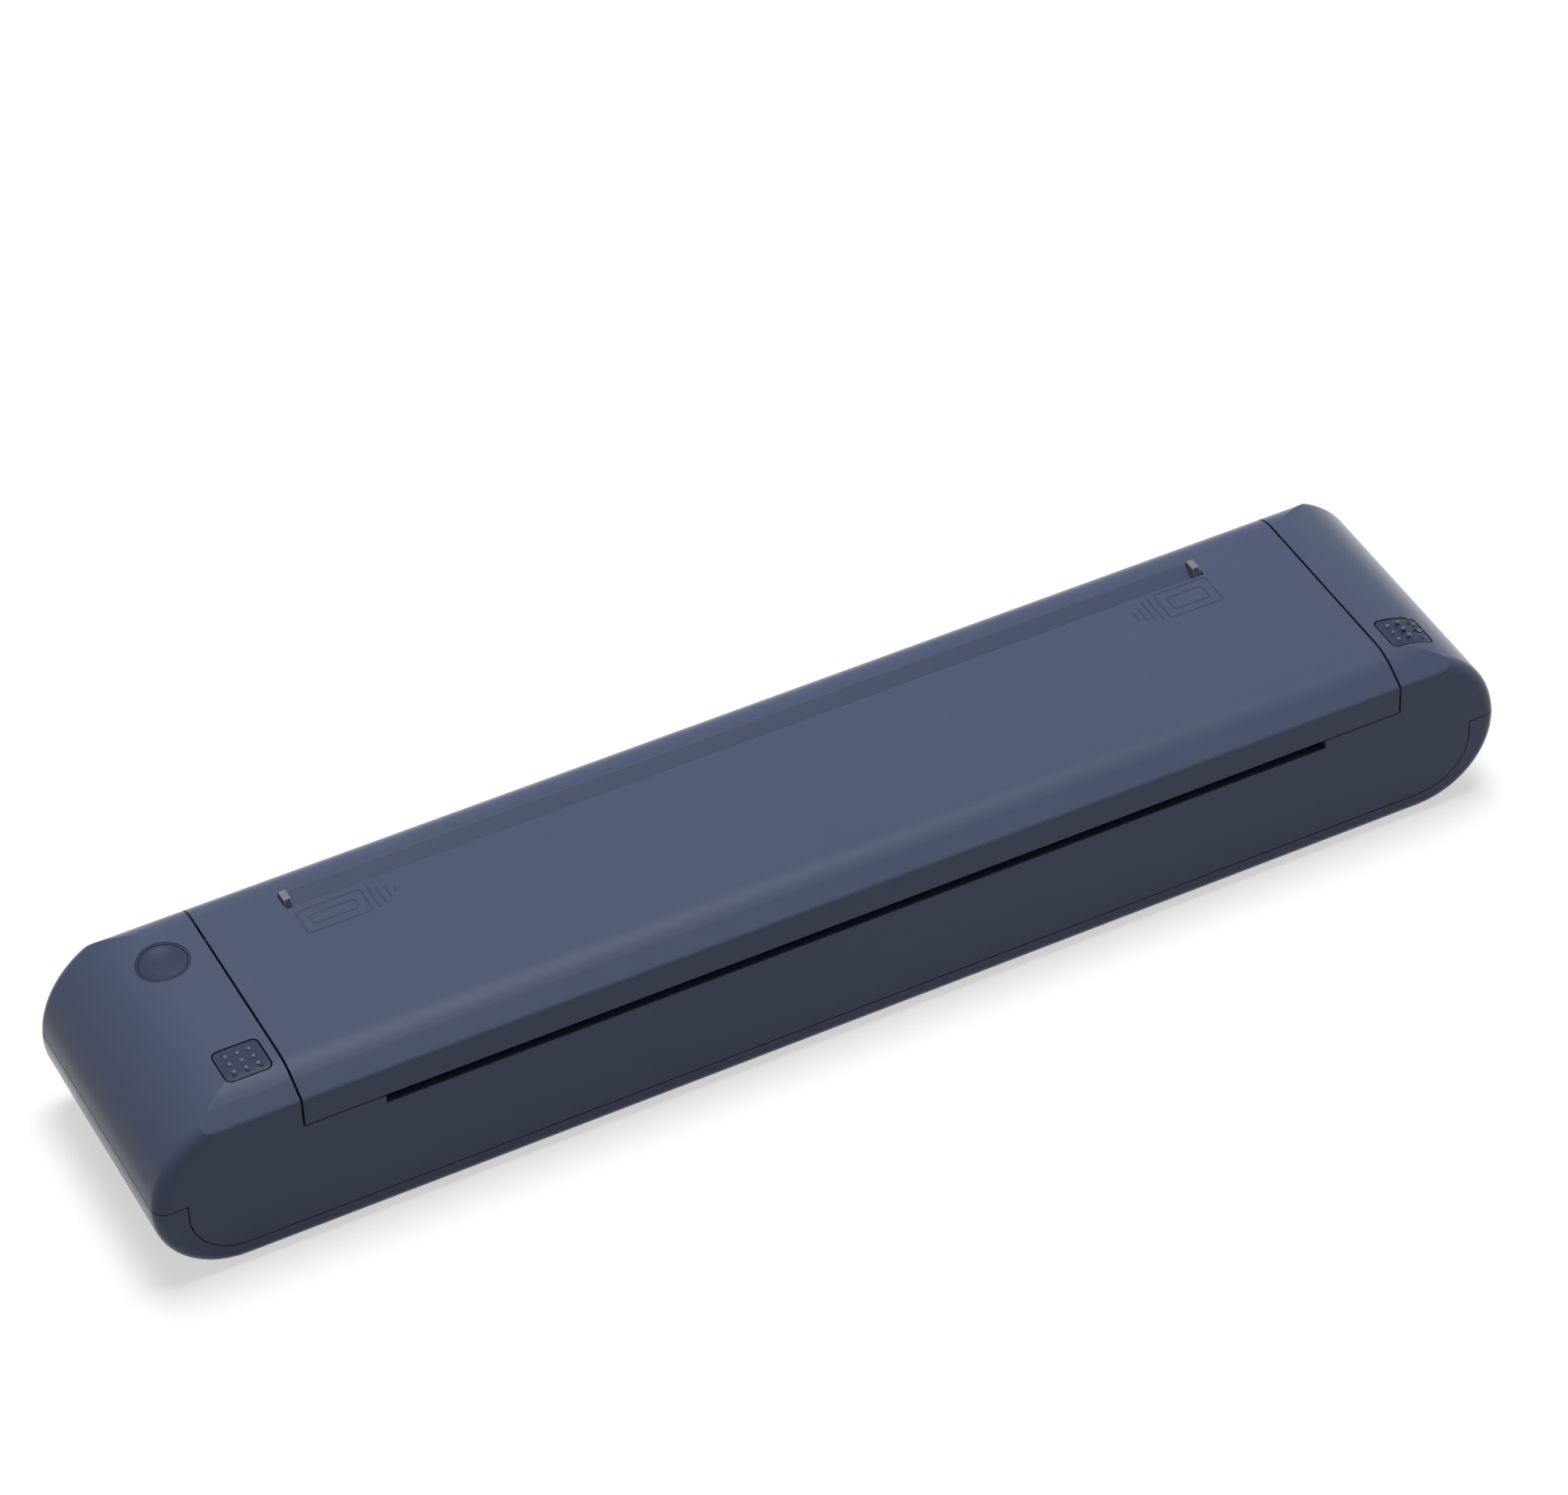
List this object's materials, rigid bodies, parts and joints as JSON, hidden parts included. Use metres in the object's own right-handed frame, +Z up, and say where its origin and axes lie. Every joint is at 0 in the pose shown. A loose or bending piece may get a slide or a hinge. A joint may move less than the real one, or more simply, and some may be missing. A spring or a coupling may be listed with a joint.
{
  "type": "a4 portable thermal printer",
  "caption": "Slim battery-powered thermal printer for A4 sheets: rounded blue casing, hinged top cover with a paper inlet, exit slot at the front, latches and a power button.",
  "frame": {"origin": "middle of the casing's plan, on the surface that the rubber feet stand on", "axes": "+X along the printer to the right as seen from the exit slot, +Y to the back where the cover is hinged, +Z up"},
  "size_m": [0.31, 0.062, 0.0439],
  "materials": {
    "casing_blue": "fine matt texture, dark grey blue",
    "button_blue": "fine matt texture, a little darker than the casing",
    "guide_grey": "satin, light grey blue",
    "black_plastic": "satin black moulding",
    "gear_plastic": "natural acetal",
    "rubber_black": "matt",
    "roller_rubber": "ground, matt",
    "bright_steel": "turned",
    "screw_steel": "nickel plated",
    "sheet_steel": "zinc plated sheet",
    "spring_steel": "bright wire",
    "heat_sink_aluminium": "extruded, milled top",
    "ceramic_white": "glazed ceramic",
    "board_green": "solder mask",
    "chip_black": "moulded package",
    "cell_wrap": "shrink sleeve over a steel can",
    "lead_black": "insulated wire",
    "lead_red": "insulated wire",
    "ribbon_orange": "polyimide film",
    "label_grey": "bare satin plate",
    "socket_steel": "drawn steel shell"
  },
  "bodies": {
    "chassis": {"bottom_shell": "casing_blue", "upper_housing": "casing_blue", "rubber_feet": "rubber_black", "case_screws": "screw_steel", "rating_label": "label_grey", "mechanism_frame": "sheet_steel", "frame_screws": "screw_steel", "lower_paper_guide": "black_plastic", "guide_screws": "screw_steel", "paper_sensor": "chip_black", "gear_studs": "bright_steel", "stud_ring": "spring_steel", "stepper_motor": "sheet_steel", "motor_screws": "screw_steel", "main_board": "board_green", "board_parts": "chip_black", "board_screws": "screw_steel", "battery_cells": "cell_wrap", "battery_tray": "black_plastic", "battery_lead": "lead_red", "usb_board": "board_green", "usb_socket": "socket_steel", "usb_lead": "lead_black", "button_board": "board_green", "button_switch": "chip_black", "button_ring": "button_blue", "button_lead": "lead_black", "motor_lead": "lead_black", "head_springs": "spring_steel", "head_ribbon": "ribbon_orange", "head_pivot_pins": "bright_steel", "cover_switch": "chip_black", "hinge_pins": "bright_steel", "latch_pins": "bright_steel", "left_release_spring": "spring_steel", "right_release_spring": "spring_steel"},
    "print_head": {"head_heat_sink": "heat_sink_aluminium", "head_ceramic": "ceramic_white", "head_driver_cover": "black_plastic"},
    "cover": {"top_cover": "casing_blue", "upper_paper_guide": "black_plastic", "platen_bushings": "black_plastic", "cover_screws": "screw_steel"},
    "platen": {"platen_rubber": "roller_rubber", "platen_shaft": "bright_steel", "platen_gear": "gear_plastic", "shaft_rings": "spring_steel"},
    "idler": {"idler_gear": "gear_plastic"},
    "compound": {"compound_gear": "gear_plastic"},
    "rotor": {"motor_shaft": "bright_steel", "motor_pinion": "gear_plastic"},
    "left_release": {"left_release_button": "button_blue"},
    "right_release": {"right_release_button": "button_blue"},
    "left_latch": {"left_latch_hook": "black_plastic"},
    "right_latch": {"right_latch_hook": "black_plastic"},
    "power": {"power_button": "button_blue", "switch_plunger": "black_plastic"},
    "left_guide": {"left_paper_guide": "guide_grey"},
    "right_guide": {"right_paper_guide": "guide_grey"}
  },
  "joints": [
    {"name": "cover_hinge", "type": "hinge", "parent": "chassis", "child": "cover", "pos_m": [0, 0.023, 0.035], "axis": [-1, 0, 0], "range_deg": [0, 80]},
    {"name": "platen_turn", "type": "hinge", "parent": "cover", "child": "platen", "pos_m": [0, -0.017, 0.0352], "axis": [1, 0, 0], "continuous": true},
    {"name": "idler_turn", "type": "hinge", "parent": "chassis", "child": "idler", "pos_m": [0, -0.017, 0.0242], "axis": [1, 0, 0], "continuous": true},
    {"name": "compound_turn", "type": "hinge", "parent": "chassis", "child": "compound", "pos_m": [0, -0.00834, 0.0192], "axis": [1, 0, 0], "continuous": true},
    {"name": "motor_turn", "type": "hinge", "parent": "chassis", "child": "rotor", "pos_m": [0, 0.00446, 0.01694], "axis": [1, 0, 0], "continuous": true},
    {"name": "head_rock", "type": "hinge", "parent": "chassis", "child": "print_head", "pos_m": [0, -0.0065, 0.0272], "axis": [1, 0, 0], "range_deg": [0, 1.5], "stiffness_Nm_per_rad": 1, "springref_deg": -3.44, "deforming": ["head_springs"]},
    {"name": "power_press", "type": "slide", "parent": "chassis", "child": "power", "axis": [0, 0, -1], "range_m": [0, 0.0005], "stiffness_N_per_m": 800, "springref_m": -0.0005},
    {"name": "left_release_press", "type": "slide", "parent": "chassis", "child": "left_release", "axis": [0, 0, -1], "range_m": [0, 0.0015], "stiffness_N_per_m": 500, "springref_m": -0.001, "deforming": ["left_release_spring"]},
    {"name": "right_release_press", "type": "slide", "parent": "chassis", "child": "right_release", "axis": [0, 0, -1], "range_m": [0, 0.0015], "stiffness_N_per_m": 500, "springref_m": -0.001, "deforming": ["right_release_spring"]},
    {"name": "left_latch_turn", "type": "hinge", "parent": "chassis", "child": "left_latch", "pos_m": [-0.1264, -0.01885, 0.025], "axis": [0, -1, 0], "range_deg": [0, 15.7]},
    {"name": "right_latch_turn", "type": "hinge", "parent": "chassis", "child": "right_latch", "pos_m": [0.1348, -0.01885, 0.025], "axis": [0, 1, 0], "range_deg": [0, 15.7]},
    {"name": "left_guide_slide", "type": "slide", "parent": "cover", "child": "left_guide", "axis": [1, 0, 0], "range_m": [0, 0.031]},
    {"name": "right_guide_slide", "type": "slide", "parent": "cover", "child": "right_guide", "axis": [-1, 0, 0], "range_m": [0, 0.031]}
  ],
  "couplings": [
    {"joint": "idler_turn", "follows": "platen_turn", "ratio": -0.83333},
    {"joint": "compound_turn", "follows": "platen_turn", "ratio": 1.25},
    {"joint": "motor_turn", "follows": "platen_turn", "ratio": -4.1667},
    {"joint": "left_latch_turn", "follows": "left_release_press", "rad_per_m": 181.8},
    {"joint": "right_latch_turn", "follows": "right_release_press", "rad_per_m": 181.8}
  ]
}
